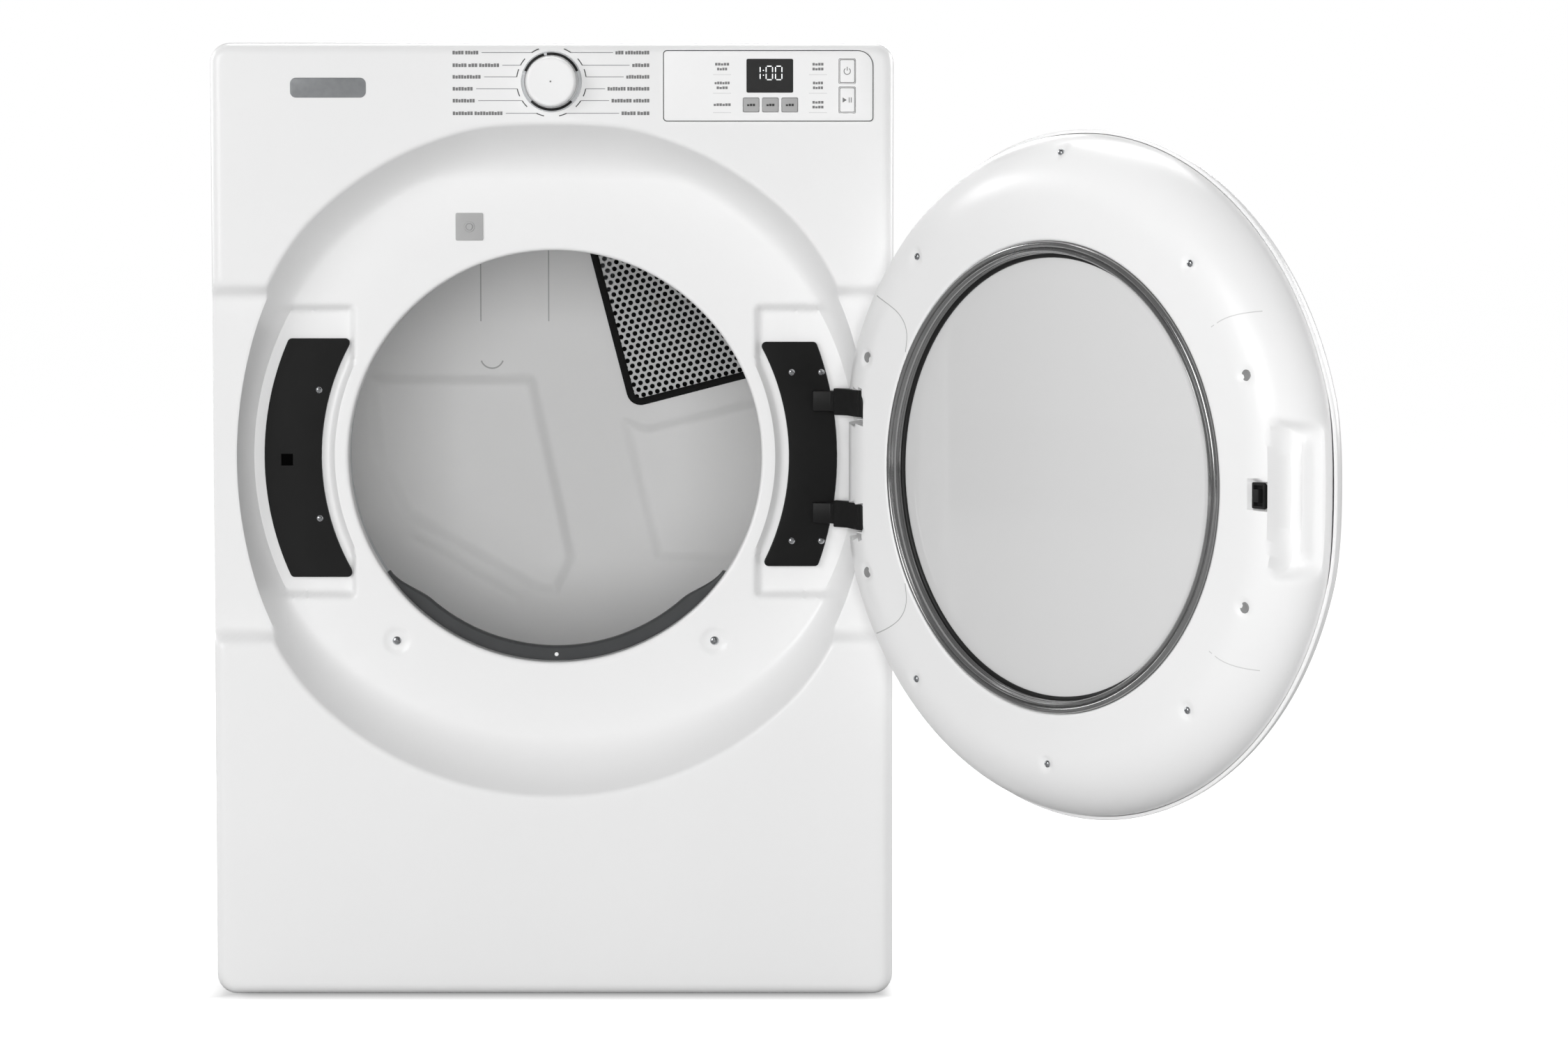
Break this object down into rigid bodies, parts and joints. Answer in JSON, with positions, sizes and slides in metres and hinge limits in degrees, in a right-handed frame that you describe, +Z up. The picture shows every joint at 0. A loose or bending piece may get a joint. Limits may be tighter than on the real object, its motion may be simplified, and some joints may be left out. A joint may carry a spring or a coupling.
{
  "type": "clothes dryer",
  "caption": "Full-size front-loading clothes dryer with a round side-hung glazed door, rotating drum, knob and key console, and rear exhaust collar.",
  "frame": {"origin": "on the floor under the centre of the cabinet's footprint", "axes": "+X to the viewer's right, the front faces -Y, +Z up"},
  "size_m": [1.0873, 1.2579, 0.969],
  "materials": {
    "white_enamel": "gloss baked enamel on sheet steel",
    "galvanised_steel": "galvanised sheet",
    "grey_enamel": "satin enamel",
    "drum_enamel": "satin powder coat",
    "baffle_plastic": "moulded polypropylene",
    "black_plastic": "fine-textured moulding",
    "black_casting": "black satin coating",
    "screen_steel": "perforated steel",
    "cover_plastic": "painted sheet",
    "bright_steel": "zinc plated",
    "felt": "pressed wool felt",
    "duct_plastic": "moulded plastic",
    "belt_rubber": "ribbed rubber",
    "motor_steel": "rolled steel",
    "dark_steel": "heat-darkened steel",
    "heater_wire": "oxidised alloy",
    "white_plastic": "gloss moulded ABS",
    "display_glass": "smoked acrylic",
    "knob_chrome": "satin chrome",
    "grey_plastic": "satin moulding",
    "filter_grey": "moulded plastic and mesh",
    "tinted_glass": "lightly tinted glass",
    "bezel_chrome": "bright trim",
    "seal_rubber": "moulded rubber",
    "foot_plastic": "moulded plastic"
  },
  "bodies": {
    "cabinet": {"front_panel": "white_enamel", "side_panel_left": "white_enamel", "side_panel_right": "white_enamel", "top_panel": "white_enamel", "rear_panel": "galvanised_steel", "base_pan": "galvanised_steel", "front_bulkhead": "galvanised_steel", "rear_bulkhead": "grey_enamel", "grille_frame": "black_plastic", "grille_screen": "screen_steel", "terminal_cover": "cover_plastic", "cabinet_screws": "bright_steel", "front_felt_seal": "felt", "rear_felt_seal": "felt", "front_glides": "duct_plastic", "roller_shafts": "bright_steel", "drive_belt": "belt_rubber", "motor": "motor_steel", "blower_housing": "duct_plastic", "lint_duct": "duct_plastic", "exhaust_duct": "galvanised_steel", "heater_box": "dark_steel", "heater_coils": "heater_wire", "control_fascia": "white_plastic", "display_window": "display_glass", "knob_ring": "knob_chrome", "hinge_plate": "black_casting", "latch_cover": "black_plastic", "door_switch": "grey_plastic"},
    "door": {"door_inner_panel": "white_plastic", "door_outer_shell": "white_plastic", "door_hinge_cover": "white_plastic", "door_window": "tinted_glass", "door_outer_lens": "tinted_glass", "window_bezel": "bezel_chrome", "window_gasket": "seal_rubber", "door_hinge_leaf": "white_enamel", "hinge_pins": "bright_steel", "door_strike": "black_plastic", "door_screws": "bright_steel"},
    "drum_body": {"drum": "drum_enamel", "drum_baffles": "baffle_plastic"},
    "roller_l": {"roller_left": "belt_rubber"},
    "roller_r": {"roller_right": "belt_rubber"},
    "rotor": {"motor_shaft": "bright_steel", "blower_wheel": "baffle_plastic"},
    "tension_arm": {"idler_arm": "galvanised_steel"},
    "tension_pulley": {"idler_pulley": "baffle_plastic"},
    "knob": {"control_knob": "white_plastic"},
    "key_1": {"option_key_1": "grey_plastic"},
    "key_2": {"option_key_2": "grey_plastic"},
    "key_3": {"option_key_3": "grey_plastic"},
    "key_power": {"power_key": "white_plastic"},
    "key_start": {"start_key": "white_plastic"},
    "filter": {"lint_filter": "filter_grey"},
    "plunger": {"switch_plunger": "white_plastic"},
    "leveller_1": {"foot_1": "foot_plastic"},
    "leveller_2": {"foot_2": "foot_plastic"},
    "leveller_3": {"foot_3": "foot_plastic"},
    "leveller_4": {"foot_4": "foot_plastic"}
  },
  "joints": [
    {"name": "door_hinge", "type": "hinge", "parent": "cabinet", "child": "door", "pos_m": [0.314, -0.372, 0.55], "axis": [0, 0, 1], "range_deg": [-131.3, 0]},
    {"name": "drum_spin", "type": "hinge", "parent": "cabinet", "child": "drum_body", "pos_m": [0, 0, 0.55], "axis": [0, 1, 0], "continuous": true},
    {"name": "roller_left_spin", "type": "hinge", "parent": "cabinet", "child": "roller_l", "pos_m": [-0.20557, 0.246, 0.25642], "axis": [0, 1, 0], "continuous": true},
    {"name": "roller_right_spin", "type": "hinge", "parent": "cabinet", "child": "roller_r", "pos_m": [0.20557, 0.246, 0.25642], "axis": [0, 1, 0], "continuous": true},
    {"name": "motor_spin", "type": "hinge", "parent": "cabinet", "child": "rotor", "pos_m": [-0.19, 0, 0.12], "axis": [0, 1, 0], "continuous": true},
    {"name": "idler_swing", "type": "hinge", "parent": "cabinet", "child": "tension_arm", "pos_m": [-0.11, 0.02, 0.05], "axis": [0, 1, 0], "range_deg": [0, 12], "stiffness_Nm_per_rad": 4, "springref_deg": -20.05},
    {"name": "idler_spin", "type": "hinge", "parent": "tension_arm", "child": "tension_pulley", "pos_m": [-0.0952, 0, 0.1122], "axis": [0, 1, 0], "continuous": true},
    {"name": "knob_turn", "type": "hinge", "parent": "cabinet", "child": "knob", "pos_m": [0, -0.38, 0.93], "axis": [0, 1, 0], "continuous": true},
    {"name": "key_1_press", "type": "slide", "parent": "cabinet", "child": "key_1", "axis": [0, 1, 0], "range_m": [0, 0.001], "stiffness_N_per_m": 400},
    {"name": "key_2_press", "type": "slide", "parent": "cabinet", "child": "key_2", "axis": [0, 1, 0], "range_m": [0, 0.001], "stiffness_N_per_m": 400},
    {"name": "key_3_press", "type": "slide", "parent": "cabinet", "child": "key_3", "axis": [0, 1, 0], "range_m": [0, 0.001], "stiffness_N_per_m": 400},
    {"name": "key_power_press", "type": "slide", "parent": "cabinet", "child": "key_power", "axis": [0, 1, 0], "range_m": [0, 0.001], "stiffness_N_per_m": 400},
    {"name": "key_start_press", "type": "slide", "parent": "cabinet", "child": "key_start", "axis": [0, 1, 0], "range_m": [0, 0.001], "stiffness_N_per_m": 400},
    {"name": "filter_lift", "type": "slide", "parent": "cabinet", "child": "filter", "axis": [0, 0, 1], "range_m": [0, 0.15]},
    {"name": "plunger_press", "type": "slide", "parent": "cabinet", "child": "plunger", "axis": [0, 1, 0], "range_m": [0, 0.0025], "stiffness_N_per_m": 300},
    {"name": "leveller_1_screw", "type": "slide", "parent": "cabinet", "child": "leveller_1", "axis": [0, 0, -1], "range_m": [0, 0.02]},
    {"name": "leveller_2_screw", "type": "slide", "parent": "cabinet", "child": "leveller_2", "axis": [0, 0, -1], "range_m": [0, 0.02]},
    {"name": "leveller_3_screw", "type": "slide", "parent": "cabinet", "child": "leveller_3", "axis": [0, 0, -1], "range_m": [0, 0.02]},
    {"name": "leveller_4_screw", "type": "slide", "parent": "cabinet", "child": "leveller_4", "axis": [0, 0, -1], "range_m": [0, 0.02]}
  ],
  "couplings": [
    {"joint": "roller_left_spin", "follows": "drum_spin", "ratio": -8.4211},
    {"joint": "roller_right_spin", "follows": "drum_spin", "ratio": -8.4211},
    {"joint": "motor_spin", "follows": "drum_spin", "ratio": 22.857},
    {"joint": "idler_spin", "follows": "drum_spin", "ratio": -10.667}
  ]
}
